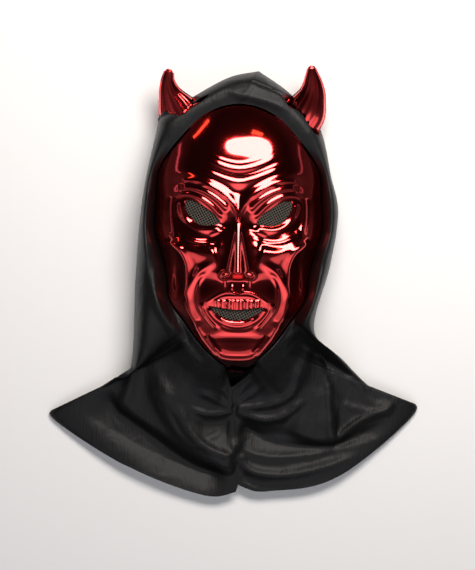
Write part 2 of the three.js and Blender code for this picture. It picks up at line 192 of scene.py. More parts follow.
# Stations round the face opening: direction in degrees, x and y of the hood's outer edge, how flat the cloth
# lies (1 on the cape), how open its edge is (1 at the hem). Steps between them, and the weights of the
# opening's edge and of the outer edge in the spread of the columns.
STATIONS = np.array([
    (90, 19, 173.6, 0, 0), (67, 52.6, 149.5, 0, 0), (55.6, 82, 115.5, 0, 0), (33, 94, 66, 0, 0),
    (11, 101.8, 29, 0, 0), (-25, 94.3, -25, 0, 0), (-52, 78.7, -91.5, 0.05, 0), (-59, 109.2, -122.1, 0.5, 0),
    (-66, 135.5, -148, 0.9, 0), (-71, 158, -162, 1, 0), (-76, 185.2, -174.7, 1, 0), (-82, 103.5, -243, 1, 1),
    (-86.5, 34.4, -258, 1, 1), (-92, 6, -258, 1, 1), (-94, -30.5, -263, 1, 1), (-99.7, -108.4, -235, 1, 1),
    (-107.8, -188.7, -186, 1, 0), (-110.5, -175, -174.5, 0.95, 0), (-112.5, -150, -162, 0.85, 0),
    (-115.5, -133, -149.3, 0.65, 0), (-122.7, -108.8, -135.4, 0.38, 0), (-142, -104.5, -42.3, 0.08, 0),
    (-183, -100.7, 17.7, 0, 0), (-211, -95, 61, 0, 0), (-232, -84.5, 111.5, 0, 0), (-242.7, -79.5, 126, 0, 0),
    (-256.5, -48.7, 145.6, 0, 0), (-263.5, -12, 166.3, 0, 0)])
STATION_STEPS = 40
EDGE_WEIGHTS = (0.4, 0.6)

# The opening's edge as a share of the rim's radius, further in over the forehead between two sines of the
# direction, and the notch under the chin, x and y.
OPENING = {"out": 0.965, "further in": 0.105, "from": 0.5, "to": 0.93, "notch below": -100}
NOTCH = np.array([
    (-14, -124), (-10.5, -134), (-8, -141), (-5, -151), (2, -145.5), (10, -139), (15, -134), (19, -128),
    (23, -118)])

# Slits that the horns come through, the right and then the left: front lip and back lip, x and y.
SLITS = [
    ([(-88, 121), (-79, 123.5), (-69, 122.5), (-58.5, 124), (-50.5, 130), (-40.5, 136.5), (-34, 142),
      (-30, 145.8)],
     [(-90, 124.5), (-80, 128), (-66, 131.5), (-54, 135), (-46, 138.5), (-40, 141.5), (-34, 144.5),
      (-30, 146.5)]),
    ([(44, 141.5), (49.5, 134), (57.5, 130.5), (63.5, 125), (68.5, 117), (74.5, 108.5), (77.5, 106.5),
      (79.5, 106)],
     [(44.5, 142), (53, 141), (60, 138), (68, 131), (74, 122.5), (77.5, 114.5), (79, 109.5), (80, 107)]),
]

# The cloth: thickness, levels of the cape and of the sewn edge, bulge at the sides of the face and at the top
# by the sine of the direction, and the powers of its section, as hood_heights explains.
CLOTH = 0.7
FLAP_LEVEL = 14
SEWN_EDGE = 3.0
BULGE = {"sides": 20.0, "top": 3.0, "from": 0.35, "over": 0.45}
HEIGHT_POWER = {"face": 5, "cape": 8, "start": 4}

# Gaps from the cloth to the relief, the rim and the horns, the way over which the gap under a horn fades, a
# level that keeps nothing clear, and the softness of the change.
GAP = {"mask": 0.6, "rim": 0.5, "horn": 0.8, "beside horn": 2, "under horn": 4, "fade": 5, "none": -10,
       "softness": 2.0}

# Where the columns of cloth start: highest on the face, lower under the chin, evened out by a bell.
HIGHEST_START = 75
CHIN_START = {"depth": [129, 134, 151], "height": [46, 34, 24]}
START_SPREAD = {"columns": 6, "width": 3.0}

# The step of the hem at the seam, which fades along x, and the back layer.
HEM_STEP = {"x": 1.5, "height": 9.0, "fade": 9, "below": -200}
BACK_LAYER = {"middle": (0, -150, 0), "level": 0.9}

# The hood's grid: columns round the opening, rows out to the edge and in again under the back, rows of the
# band before a slit, and the step where that ends in columns without one; samples along a column to find a
# slit's lips, and columns over which the band's end blends beside a slit.
COLUMNS = 16 * len(STATIONS)
HOOD_OUT = 84
HOOD_BACK = 26
BAND_ROWS = 30
BAND_STEP = 0.36
LIP_SAMPLES = 240
SLIT_BLEND = 12

# Folds of the cloth, given as the face's but not paired. They fade in at the opening and out at the edge.
HOOD_CREST = 1.7
FOLD_FADE = {"in": 12, "out": 6}
HOOD_FOLDS = {
    "crown pleat": (1, 2.2, 4, 0.2, 0.3, [(16.8, 169.7), (13.9, 158.5), (6, 146.2), (-4.1, 135.9)]),
    "crown pleat left": (0.9, 2, 3, 0.2, 0.3, [(20.9, 168.8), (28.2, 156.7), (42.6, 142.7), (52.9, 132.6)]),
    "patch foot": (4.6, 28, 5, 0.3, 0.05, [(49.8, -188.2), (68.4, -198.2), (87, -204.1), (103.5, -205.9)]),
    "shoulder valley": (-8, 8, 30, 0.15, 0.15, [(-136.8, -150.7), (-131.5, -164), (-121, -178.2),
        (-105.4, -190.3), (-82.6, -206.5), (-58.7, -222.6), (-30.7, -236.6), (-2.9, -244.4)]),
    "hood side drop": (5, 9, 3, 0.3, 0.3, [(-105.6, -102), (-107.2, -134.9), (-112.1, -155.5), (-118, -172),
        (-121.9, -184.4)]),
    "right ridge one": (10, 30, 7, 0.25, 0.08, [(-88.7, -132.6), (-79.1, -158.1), (-67.5, -182.6),
        (-52.8, -201.9), (-34.1, -219.2), (-14.4, -230.2), (2.1, -236.1)]),
    "right valley": (-2.6, 4, 5, 0.35, 0.15, [(-73.9, -163.2), (-65.4, -180.5), (-54.9, -198.9),
        (-39.3, -216.1), (-21.7, -225.2)]),
    "right ridge two": (3, 4, 4.5, 0.35, 0.08, [(-59.5, -167.1), (-49.9, -190.6), (-37.3, -206.9),
        (-20.7, -216.9), (-2.2, -222.8)]),
    "right hollow": (-2.8, 6, 20, 0.3, 0.1, [(-42.7, -189.5), (-30.4, -189.3), (-18, -189.1),
        (-5.7, -189)]),
    "right gather one": (2.4, 3, 3, 0.35, 0.03, [(-53.3, -167), (-39.8, -176.1), (-22.3, -178.9),
        (-2.8, -175.6)]),
    "right gather two": (2.2, 3, 3, 0.35, 0.03, [(-42.2, -154.5), (-24.6, -161.5), (-3.9, -172.5)]),
    "right gather three": (1.8, 2.5, 2.5, 0.3, 0.03, [(-15.5, -149), (-8.2, -160.2), (-3.9, -170.4)]),
    "left gather one": (3, 3.4, 3.4, 0.05, 0.15, [(-0.8, -171.4), (16.7, -171.2), (31, -168.9),
        (43.3, -165.7), (53.5, -160.4), (59.6, -152.1), (63.5, -138.6), (65.3, -122.2)]),
    "left gather two": (3.6, 4, 4, 0.05, 0.2, [(-0.8, -174.5), (10.6, -179.5), (25, -183.4), (39.4, -183.2),
        (51.7, -177.9), (63.9, -168.5), (75.1, -159)]),
    "gather hollow": (-4.5, 9, 8, 0.1, 0.4, [(2.5, -190.9), (20.1, -196.8), (45.8, -199.5),
        (76.7, -201.2)]),
    "patch": (2.6, 11, 10, 0.3, 0.2, [(82.1, -144.6), (85.4, -161), (88.7, -178.4), (92, -195.8)]),
    "shoulder fold": (2, 2.6, 2.6, 0.2, 0.1, [(95.5, -148.5), (103.9, -162.8), (120.5, -170.7),
        (140, -173.6), (162.6, -172.2)]),
    "shoulder ridge": (2, 2.6, 2.6, 0.2, 0.1, [(109.7, -135.9), (126.3, -148.1), (133.7, -159.3),
        (142, -166.3), (154.3, -167.2), (164.7, -171.2)]),
    "point ridge": (3.4, 3.4, 4, 0.35, 0.05, [(87.8, -113.6), (93.3, -136.2), (95.7, -160.8), (97, -181.4),
        (98.2, -195.7), (103.5, -205.9)]),
    "point ridge out": (3.8, 3.4, 3.6, 0.05, 0.15, [(103.5, -205.9), (113.6, -194.5), (128.9, -183),
        (146.2, -175.5), (164.7, -171.2)]),
    "long ridge one": (2.4, 5, 5, 0.05, 0.2, [(-2.4, -203.3), (5.9, -213.5), (26.6, -221.4), (51.3, -222.1),
        (80, -218.6), (112.8, -212), (153.8, -201.1), (180.3, -188.4)]),
    "long ridge two": (4, 5, 5, 0.05, 0.2, [(1.9, -217.6), (10.3, -231.9), (24.8, -239.9), (49.5, -241.6),
        (76.2, -237.1), (104.8, -228.5), (133.5, -217.8)]),
    "crown crease": (-1.4, 1.4, 1.4, 0.2, 0.1, [(6.8, 160.9), (16, 157), (26.3, 153.1), (36.5, 150.1),
        (50.8, 144.2)]),
    "crown side": (2, 5, 4, 0.2, 0.2, [(-14.4, 149.1), (-0.1, 145.2), (18.1, 141.4), (36.4, 135.6),
        (50.7, 127.7)]),
    "temple fold right": (1.6, 3, 3, 0.2, 0.2, [(-91, 72.2), (-94.6, 39.5), (-94.1, -1.4), (-89.4, -42.1)]),
    "edge roll right": (7, 6, 6, 0.3, 0.3, [(-87, -23.9), (-81.5, -58.3), (-73.1, -78.5), (-62.7, -93.5),
        (-51.4, -108.6), (-41, -121.6), (-30.8, -131.6), (-20.5, -139.6)]),
    "edge roll left": (7, 6, 6, 0.3, 0.3, [(92.5, -21.4), (74.9, -68.3), (63.9, -85.7), (51.9, -98),
        (41, -111.4), (34, -123.6), (26.1, -134.9)]),
    "shoulder roll": (2.5, 9, 6, 0.2, 0.2, [(-129.6, -151.6), (-121.2, -165.9), (-108.7, -178.1),
        (-87.9, -190.1), (-71.3, -202.2), (-56.7, -216.4), (-40.1, -228.5), (-19.4, -237.5)]),
    "soft diagonal": (2.6, 8, 8, 0.3, 0.3, [(-91, -114.1), (-82.5, -136.6), (-71.9, -157), (-59.3, -177.4),
        (-48.8, -195.7)]),
    "upper gather": (1.6, 2.5, 2.5, 0.1, 0.4, [(-1.9, -168.3), (10.3, -161), (22.5, -151.6),
        (30.6, -139.1)]),
    "upper gather two": (1.4, 2.2, 2.2, 0.1, 0.4, [(-1.9, -166.3), (4.1, -155.9), (12.2, -145.5),
        (20.3, -135.1)]),
    "deep valley": (-5.5, 6, 16, 0.2, 0.2, [(0.4, -182.7), (14.9, -195.9), (33.6, -206.9), (66.6, -211.6),
        (97.4, -211.2), (117.9, -204.7), (142.4, -193.1), (166.8, -180.4)]),
    "hem hollow": (-2.2, 5, 4, 0.1, 0.4, [(6.3, -240.2), (17.8, -250.3), (34.3, -255.2), (56.9, -252.8)]),
    "neck ridge left": (2.4, 4, 7, 0.2, 0.3, [(81.3, -91.1), (76.4, -105.6), (71.4, -120), (68.6, -134.5),
        (67.8, -150.9)]),
    "neck line left": (-2.6, 4, 3, 0.2, 0.2, [(83.5, -103.4), (88.9, -117.7), (93.2, -134.1),
        (96.5, -150.5)]),
    "seam": (0.8, 1.2, 1.6, 0.02, 0.02, [(-5.2, -150.9), (-4.5, -164.3), (-2.8, -174.5), (-2.4, -205.4),
        (0.9, -220.7), (4.2, -236.1), (5.4, -250.5)]),
}


def through(places, values, at):
    """Cubic through the values at increasing places, level at both ends (Hermite with central slopes)."""
    at = np.clip(at, places[0], places[-1])
    slopes = np.zeros(len(places))
    slopes[1:-1] = (values[2:] - values[:-2]) / (places[2:] - places[:-2])
    i = np.clip(np.searchsorted(places, at, side="right") - 1, 0, len(places) - 2)
    width = places[i + 1] - places[i]
    t = (at - places[i]) / width
    return ((2 * t**3 - 3 * t**2 + 1) * values[i] + (t**3 - 2 * t**2 + t) * width * slopes[i]
            + (3 * t**2 - 2 * t**3) * values[i + 1] + (t**3 - t**2) * width * slopes[i + 1])


def ease(t):
    """Smooth step: 0 below 0, 1 above 1, level at both."""
    t = np.clip(t, 0, 1)
    return t * t * (3 - 2 * t)


def smooth_path(points, steps=8, closed=False):
    """Catmull-Rom curve through the points, each span in equal steps of its parameter."""
    p = np.array(points, float)
    p = np.vstack([p[-1:], p, p[:2]]) if closed else np.vstack([2 * p[0] - p[1], p, 2 * p[-1] - p[-2]])
    t = np.linspace(0, 1, steps, endpoint=False)[None, :, None]
    a, b, c, d = (p[i:len(p) - 3 + i, None] for i in range(4))
    spans = 0.5 * (2 * b + (c - a) * t + (2 * a - 5 * b + 4 * c - d) * t**2 + (3 * b - a - 3 * c + d) * t**3)
    spans = spans.reshape(-1, p.shape[1])
    return spans if closed else np.vstack([spans, p[-2:-1]])


def lengths(points):
    """Length of each step along a line of points."""
    return np.hypot(*np.diff(points, axis=0).T)


def from_path(x, y, path):
    """Distance to a line of points, positive on the left of its way, with the share of its length and the
    nearest point, taken from the nearest of all segments."""
    best = np.full(x.shape, np.inf)
    side, share, near_x, near_y = (np.zeros(x.shape) for _ in range(4))
    marks = np.concatenate([[0], np.cumsum(lengths(path))])
    for i, (a, b) in enumerate(zip(path[:-1], path[1:])):
        d = b - a
        t = np.clip(((x - a[0]) * d[0] + (y - a[1]) * d[1]) / (d @ d), 0, 1)
        ex, ey = x - a[0] - t * d[0], y - a[1] - t * d[1]
        distance = np.hypot(ex, ey)
        nearer = distance < best
        best = np.where(nearer, distance, best)
        side = np.where(nearer, np.where(d[0] * ey - d[1] * ex >= 0, 1, -1), side)
        share = np.where(nearer, (marks[i] + t * (marks[i + 1] - marks[i])) / marks[-1], share)
        near_x = np.where(nearer, a[0] + t * d[0], near_x)
        near_y = np.where(nearer, a[1] + t * d[1], near_y)
    return best * side, share, near_x, near_y


def round_about(x, y, path, reach):
    """True within the box of a line of points, made larger by the reach."""
    low, high = path.min(0) - reach, path.max(0) + reach
    return (x > low[0]) & (x < high[0]) & (y > low[1]) & (y < high[1])


def raised_fold(x, y, rise, left, right, start, end, points, crest):
    """Height of a fold: rise * exp(-(distance from its path / width of that flank) ** crest), faded in and
    out along the path by smooth steps."""
    path = smooth_path(points)
    near = round_about(x, y, path, FOLD_REACH * max(left, right))
    height = np.zeros(x.shape)
    distance, share, _, _ = from_path(x[near], y[near], path)
    fade = ease(share / start) if start else 1.0
    fade = fade * (ease((1 - share) / end) if end else 1.0)
    height[near] = rise * fade * np.exp(-np.abs(distance / np.where(distance > 0, left, right))**crest)
    return height


def with_folds(height, x, y, folds, crest):
    """The height with the sum of a table's folds."""
    for fold in folds.values():
        height += raised_fold(x, y, *fold, crest)
    return height


rim_turns = np.pi / 2 - np.arctan2(RIM[:, 1] - FACE_MIDDLE, RIM[:, 0])
rim_radii = np.hypot(RIM[:, 0], RIM[:, 1] - FACE_MIDDLE)


def rim_toward(angle):
    """Radius and height of the rim in a direction from the middle of the face."""
    turn = np.abs(np.arctan2(np.cos(angle), np.sin(angle)))
    return through(rim_turns, rim_radii, turn), through(rim_turns, RIM[:, 2], turn)


outline_angles = np.pi / 2 - np.linspace(0, np.pi, OUTLINE_POINTS)
outline_radii, outline_z = rim_toward(outline_angles)
outline_x = outline_radii * np.cos(outline_angles)
outline_y = FACE_MIDDLE + outline_radii * np.sin(outline_angles)


def half_width(y):
    """The rim's distance from the middle line at a level of y."""
    return np.interp(-y, -outline_y, outline_x)


def dome(x, y):
    """Plain dome: an arch across the face from one rim over the middle line to the other,
    low + (middle - low) * (1 - share of the half width ** power / 2) * sqrt(1 - share ** edge)."""
    low = np.interp(-y, -outline_y, outline_z)
    middle = through(-PROFILE[:, 0], PROFILE[:, 1], -y)
    across = np.minimum(np.abs(x) / np.maximum(half_width(y), 0.01), 1)
    power = ARCH["forehead"] + (ARCH["cheeks"] - ARCH["forehead"]) * ease(
        (ARCH["from"] - y) / (ARCH["from"] - ARCH["to"]))
    return low + (middle - low) * (1 - 0.5 * across**power) * np.sqrt(1 - across**ARCH["edge"])


def face_base(x, y):
    """The dome with its broad forms, paired bells: rise * exp(-(x share) ** 2 - (y share) ** 2)."""
    height = np.zeros(np.shape(x))
    for form_x, form_y, across, along, rise in FORMS.values():
        height += rise * np.exp(-((np.abs(x) - form_x) / across)**2 - ((y - form_y) / along)**2)
    return dome(x, y) + height


def nose(x, y):
    """Ridge rising from the bridge to the tip and dropping under it: the rise over
    1 + (distance from the middle / width) ** power, wider towards the tip."""
    ramp = np.clip((NOSE["bridge"] - y) / NOSE["length"], 0, 1)
    under = ease((NOSE["under"] - y) / NOSE["drop"])
    rise = NOSE["height"] * (ramp - NOSE["sag"] * np.sin(ramp * np.pi)) * (1 - under)
    width = NOSE["slim"] + NOSE["widening"] * ramp**2
    return rise / (1 + (np.abs(x) / width)**NOSE["power"])


def teeth(x, y):
    """A row of upright rounded teeth between the gum and the opening: the cosine across, without its sign,
    to the power of the section, with a sine that shifts the teeth and one that changes their height."""
    gum, side, end = TEETH["gum"], TEETH["side"], TEETH["end"]
    band = ease((gum[0] - y) / gum[1]) * ease((side[0] - np.abs(x)) / side[1]) * ease((y - end[0]) / end[1])
    shift, rate, phase = TEETH["shift"]
    shifted = x + shift * np.sin(rate * x + phase)
    change, rate = TEETH["uneven"]
    height = TEETH["height"] * band * (1 + change * np.sin(rate * x))
    return height * np.abs(np.cos(np.pi * shifted / TEETH["pitch"]))**TEETH["section"]


def face_height(x, y):
    """The whole relief: the dome with its broad forms, nose, teeth and folds."""
    return with_folds(face_base(x, y) + nose(x, y) + teeth(x, y), np.abs(x), y, FOLDS, FACE_CREST)


def mirrored(outline):
    """The outline at the other side of the face, in the same turning sense."""
    return outline[::-1] * (-1, 1)


MOUTH = np.vstack([MOUTH_HALF, mirrored(MOUTH_HALF)[1:-1]])
OPENINGS = [smooth_path(shape, OPENING_STEPS, closed=True) for shape in (EYE, mirrored(EYE), MOUTH)]


def inside(x, y, outline):
    """True inside a closed outline, by counting the edges crossed towards +X."""
    count = np.zeros(x.shape, int)
    for (ax, ay), (bx, by) in zip(outline, np.roll(outline, -1, axis=0)):
        crosses = (ay > y) != (by > y)
        count += crosses & (x < ax + (y - ay) * (bx - ax) / np.where(by == ay, 1, by - ay))
    return count % 2 == 1


def grid_faces(rows, columns, closed=False):
    """Quads of a grid of points, rows first; closed joins the last column to the first."""
    index = np.arange(rows * columns).reshape(rows, columns)
    here, after = (index, np.roll(index, -1, axis=1)) if closed else (index[:, :-1], index[:, 1:])
    return np.stack([here[:-1], here[1:], after[1:], after[:-1]], axis=-1)


def crowded(u, even, power):
    """Even and crowded shares mixed: even * u + (1 - even) * u ** power."""
    return even * u + (1 - even) * u**power


def face_rows(count):
    """Places of the rows from the forehead to the chin: even over the features, closer at both ends."""
    forehead, top, foot, chin = RIM[0, 1], FEATURES["top"], FEATURES["foot"], RIM[-1, 1]
    ends = count // ROWS_PER_END
    upper = forehead - (forehead - top) * crowded(np.linspace(0, 1, 2 * ends, endpoint=False), *TOP_ROWS)
    middle = np.linspace(top, foot, count - 3 * ends, endpoint=False)
    lower = chin + (foot - chin) * crowded(np.linspace(1, 0, ends), *CHIN_ROWS)
    return np.concatenate([upper, middle, lower])


def face_grid(rows, columns):
    """Places x, y of a grid over the face: columns follow the outline and crowd towards the rim,
    share = (s - crowding * s ** 7 / 7) / (1 - crowding / 7)."""
    y = np.repeat(face_rows(rows)[:, None], columns, axis=1)
    s = np.linspace(-1, 1, columns)[None, :]
    return half_width(y) * (s - CROWDING * s**7 / 7) / (1 - CROWDING / 7), y


def cut_openings(x, y, snap):
    """Moves the grid points near each opening's outline onto it. Returns their places, and the quads and
    triangles outside the openings."""
    state = np.ones(x.shape, int)
    for outline in OPENINGS:
        near = round_about(x, y, outline, OUTLINE_REACH)
        closed = np.vstack([outline, outline[:1]])
        distance, _, near_x, near_y = from_path(x[near], y[near], closed)
        within = inside(x[near], y[near], outline)
        on = np.abs(distance) < snap
        x[near] = np.where(on, near_x, x[near])
        y[near] = np.where(on, near_y, y[near])
        state[near] = np.where(on, 0, np.where(within, -1, state[near]))
    quads = grid_faces(*x.shape).reshape(-1, 4)
    kinds = state.ravel()[quads]
    whole = quads[(kinds > 0).all(axis=1)]
    mixed = quads[(kinds <= 0).any(axis=1)]
    turn = (state.ravel()[mixed[:, [0, 2]]] != 0).any(axis=1)
    mixed = np.where(turn[:, None], np.roll(mixed, -1, axis=1), mixed)
    triangles = np.vstack([mixed[:, [0, 1, 2]], mixed[:, [0, 2, 3]]])
    kinds = state.ravel()[triangles]
    middle_x, middle_y = (place.ravel()[triangles].mean(axis=1) for place in (x, y))
    filled = np.any([inside(middle_x, middle_y, outline) for outline in OPENINGS], axis=0)
    return x, y, whole, triangles[(kinds >= 0).all(axis=1) & ~filled]


def open_edges(faces):
    """The edges used by one face only, as pairs of points in the direction of their face."""
    pairs = np.vstack([np.stack([f, np.roll(f, -1, axis=1)], axis=-1).reshape(-1, 2) for f in faces])
    keys = np.sort(pairs, axis=1)
    _, first, counts = np.unique(keys, axis=0, return_index=True, return_counts=True)
    pairs = pairs[first[counts == 1]]
    return pairs[pairs[:, 0] != pairs[:, 1]]


def joined(points, upper, lower, centre):
    """Triangles between two closed loops of points round a centre: both are put in order of their angle, and
    each edge of one takes the point of the other that lies nearest in that order."""
    def ordered(loop):
        angles = np.arctan2(points[loop, 1] - centre[1], points[loop, 0] - centre[0])
        order = np.argsort(angles)
        return loop[order], angles[order]
    a, angle_a = ordered(upper)
    b, angle_b = ordered(lower)
    a_next, b_next = np.roll(a, -1), np.roll(b, -1)
    to_b = np.searchsorted(angle_b, np.roll(angle_a, -1), side="right") - 1
    to_a = np.searchsorted(angle_a, np.roll(angle_b, -1), side="left") - 1
    return np.vstack([np.stack([a, b[to_b], a_next], axis=-1), np.stack([b, b_next, a[to_a]], axis=-1)])


def face_sheet():
    """The moulded face as a closed thin sheet: the front has the whole relief, the coarser inner side follows
    face_base a thickness inwards and, by 1 - share of the half width ** 8, downwards, and the two are joined
    round the rim and the openings."""
    x, y, quads, triangles = cut_openings(*face_grid(*FACE_GRID), SNAP["front"])
    front = np.stack([x, y, face_height(x, y)], axis=-1).reshape(-1, 3)
    x, y, inner_quads, inner_triangles = cut_openings(*face_grid(*INNER_GRID), SNAP["inner"])
    inwards = 1 - SHEET / np.maximum(np.hypot(x, y - FACE_MIDDLE), LEAST_RADIUS)
    facing_up = np.clip(1 - (np.abs(x) / np.maximum(half_width(y), 1))**INNER_POWER, 0, 1)
    inner = np.stack([x * inwards, FACE_MIDDLE + (y - FACE_MIDDLE) * inwards,
                      face_base(x, y) - SHEET * facing_up], axis=-1).reshape(-1, 3)
    points = np.vstack([front, inner])
    back = [f[:, ::-1] + len(front) for f in (inner_quads, inner_triangles)]
    faces = [quads, triangles, *back]
    loops = [np.unique(open_edges(side)) for side in ([quads, triangles], back)]
    strips = []
    for outline in OPENINGS:
        middle = outline.mean(axis=0)
        reach = np.hypot(*(outline - middle).T).max() + LOOP_REACH
        close = [loop[np.hypot(*(points[loop, :2] - middle).T) < reach] for loop in loops]
        strips.append(joined(points, *close, middle))
        loops = [np.setdiff1d(loop, used) for loop, used in zip(loops, close)]
    strips.append(joined(points, *loops, (0, FACE_MIDDLE)))
    return points, faces + strips


def half_section(half, turn):
    """Points out and up of a horn's half section: half * cos(turn), flatness * half * sin(turn) ** power."""
    return half * np.cos(turn), HORN_SECTION["flatness"] * half * np.sin(turn)**HORN_SECTION["power"]


def horn(line):
    """A horn as a half shell: half sections across its centre line with a lip along the open back, round the
    outside and back round the inside, closed at the root and the blunt tip. Flutes of
    depth * half * cos(count * turn) * sin(turn) run along it."""
    t = 1 - (1 - np.linspace(0, 1, HORN_SECTIONS))**HORN_CROWDING
    fine = smooth_path(line[:, :3], HORN_STEPS)
    middle = np.stack([np.interp(t, np.linspace(0, 1, len(fine)), fine[:, k]) for k in range(3)], axis=-1)
    half = through(np.linspace(0, 1, len(line)), line[:, 3], t)
    from_tip = np.linalg.norm(middle - middle[-1], axis=1)
    blunt = np.sqrt(np.clip(from_tip * (2 * HORN_BLUNT - from_tip), 0.01, None))
    half = np.where(from_tip < HORN_BLUNT, np.minimum(half, blunt), half)[:, None]
    along = np.gradient(middle, axis=0)
    across = np.stack([along[:, 1], -along[:, 0]], axis=-1)
    across /= np.linalg.norm(across, axis=1)[:, None]
    turn = np.linspace(0, np.pi, HORN_TURNS)
    lip = np.minimum(HORN_LIP["most"], half * HORN_LIP["share"])
    wall = np.minimum(HORN_SHEET["most"], half * HORN_SHEET["share"])
    out, up = half_section(half, turn)
    up = up + HORN_FLUTES["depth"] * half * np.cos(HORN_FLUTES["count"] * turn) * np.sin(turn)
    inner_out, inner_up = half_section(half - wall, turn[::-1])
    corner = lip * HORN_LIP["corner out"]
    edge = lip * HORN_LIP["corner up"]
    out = np.hstack([half + lip, half + corner, out, -half - corner, -half - lip, inner_out])
    up = np.hstack([0 * lip, edge, np.maximum(up, lip * HORN_LIP["foot"]), edge, 0 * lip, inner_up])
    points = np.stack([middle[:, :1] + across[:, :1] * out, middle[:, 1:2] + across[:, 1:] * out,
                       middle[:, 2:] + up], axis=-1)
    tip = np.repeat(middle[-1:] + (0, 0, HORN_TIP), points.shape[1], axis=0)
    root = np.repeat(points[0].mean(axis=0)[None], points.shape[1], axis=0)
    points = np.concatenate([root[None], points, tip[None]])
    faces = grid_faces(points.shape[0], points.shape[1], closed=True).reshape(-1, 4)
    return points.reshape(-1, 3), [faces]


def make_piece(name, parts, material, sharp=45):
    """One mesh object from (points in mm, lists of faces): doubles merged, faces turned outwards, smooth
    but for edges sharper than the angle."""
    points = np.vstack([part[0] for part in parts]) * MM
    starts = np.cumsum([0] + [len(part[0]) for part in parts])
    faces = [face for start, part in zip(starts, parts) for group in part[1]
             for face in (group + start).tolist()]
    mesh = bpy.data.meshes.new(name)
    mesh.from_pydata(points.tolist(), [], faces)
    work = bmesh.new()
    work.from_mesh(mesh)
    bmesh.ops.remove_doubles(work, verts=work.verts, dist=1e-6)
    bmesh.ops.dissolve_degenerate(work, edges=work.edges, dist=1e-7)
    bmesh.ops.recalc_face_normals(work, faces=work.faces)
    work.to_mesh(mesh)
    work.free()
    mesh.polygons.foreach_set("use_smooth", np.ones(len(mesh.polygons), bool))
    mesh.set_sharp_from_angle(angle=math.radians(sharp))
    piece = bpy.data.objects.new(name, mesh)
    bpy.context.scene.collection.objects.link(piece)
    mesh.materials.append(material)
    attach(piece, "root")
    return piece


def gauze(outline):
    """Plain-woven gauze behind an opening: two sets of threads at right angles, each passing over and under
    the other by the cosine of pi * place / spacing. A thread shrinks to a point where it leaves the patch."""
    thread, pitch = GAUZE["thread"], GAUZE["pitch"]
    middle = outline.mean(axis=0)
    radii = np.hypot(*(outline - middle).T)
    count = int(np.ceil((radii.max() + GAUZE["margin"]) / pitch))
    lines = (np.arange(2 * count + 1) - count) * pitch
    u = np.linspace(-count - 0.5, count + 0.5, (2 * count + 1) * GAUZE["steps"] + 1) * pitch
    slant = math.radians(GAUZE["slant"])
    patch = middle + (outline - middle) * (1 + GAUZE["margin"] / radii)[:, None]
    turn = np.linspace(0, 2 * np.pi, GAUZE["corners"], endpoint=False)
    parts = []
    for which in (0, 1):
        v = np.repeat(lines[:, None], len(u), axis=1)
        along = np.repeat(u[None, :], len(lines), axis=0)
        a, b = (along, v) if which == 0 else (v, along)
        x = middle[0] + a * math.cos(slant) - b * math.sin(slant)
        y = middle[1] + a * math.sin(slant) + b * math.cos(slant)
        order = np.arange(len(lines))[:, None] + which
        lift = thread * GAUZE["wave"] * np.cos(np.pi * (along / pitch + order))
        z = face_base(x, y) - GAUZE["below"] + lift
        thick = np.where(inside(x, y, patch), thread / 2, 0)
        cross = (-math.sin(slant), math.cos(slant)) if which == 0 else (math.cos(slant), math.sin(slant))
        ring = thick[..., None] * np.cos(turn)
        points = np.stack([x[..., None] + cross[0] * ring, y[..., None] + cross[1] * ring,
                           z[..., None] + thick[..., None] * GAUZE["pressed"] * np.sin(turn)], axis=-1)
        quads = np.stack([grid_faces(len(u), len(turn), closed=True) + i * len(u) * len(turn)
                          for i in range(len(lines))])
        kept = (thick[:, :-1] > 0) | (thick[:, 1:] > 0)
        parts.append((points.reshape(-1, 3), [quads[kept].reshape(-1, 4)]))
    return parts


def opening_edge(angle):
    """Edge of the cloth on the mask in a direction: a share of the rim's radius, further in over the
    forehead, and dipping to a notch under the chin."""
    radius, _ = rim_toward(angle)
    top = ease((np.sin(angle) - OPENING["from"]) / (OPENING["to"] - OPENING["from"]))
    radius = radius * (OPENING["out"] - OPENING["further in"] * top)
    x, y = radius * np.cos(angle), FACE_MIDDLE + radius * np.sin(angle)
    low = np.interp(x, *NOTCH.T)
    at_notch = (y < OPENING["notch below"]) & (x > NOTCH[0, 0]) & (x < NOTCH[-1, 0])
    return x, np.where(at_notch, np.minimum(y, low), y)


def horn_top(x, y, line):
    """A horn over a place: its open back's level, half width, the height of a half circle across it, and the
    distance from its centre line."""
    path = smooth_path(line, HORN_STEPS)
    marks = np.concatenate([[0], np.cumsum(lengths(path[:, :2]))])
    distance, share, _, _ = from_path(x, y, path[:, :2])
    level, half = (np.interp(share * marks[-1], marks, path[:, k]) for k in (2, 3))
    return level, half, level + np.sqrt(np.maximum(half**2 - distance**2, 0)), np.abs(distance)


def hood_columns():
    """Direction, both ends in plan, flatness and openness of each column. Columns are even over the weighted
    lengths of the opening's edge and the outer edge."""
    loop = smooth_path(np.vstack([STATIONS, STATIONS[:1] - (360, 0, 0, 0, 0)]), STATION_STEPS)
    inner = np.stack(opening_edge(np.radians(loop[:, 0])), axis=-1)
    steps = [lengths(edge) for edge in (inner, loop[:, 1:3])]
    mixed = sum(weight * step / step.sum() for weight, step in zip(EDGE_WEIGHTS, steps))
    places = np.concatenate([[0], np.cumsum(mixed)])
    at = np.linspace(0, places[-1], COLUMNS, endpoint=False)
    angle, bx, by, flat, opened = (np.interp(at, places, loop[:, k])[:, None] for k in range(5))
    lifted = (by < HEM_STEP["below"]) & (bx > HEM_STEP["x"])
    by = by + np.where(lifted, HEM_STEP["height"] * np.exp((HEM_STEP["x"] - bx) / HEM_STEP["fade"]), 0)
    return np.radians(angle), *opening_edge(np.radians(angle)), bx, by, flat, opened


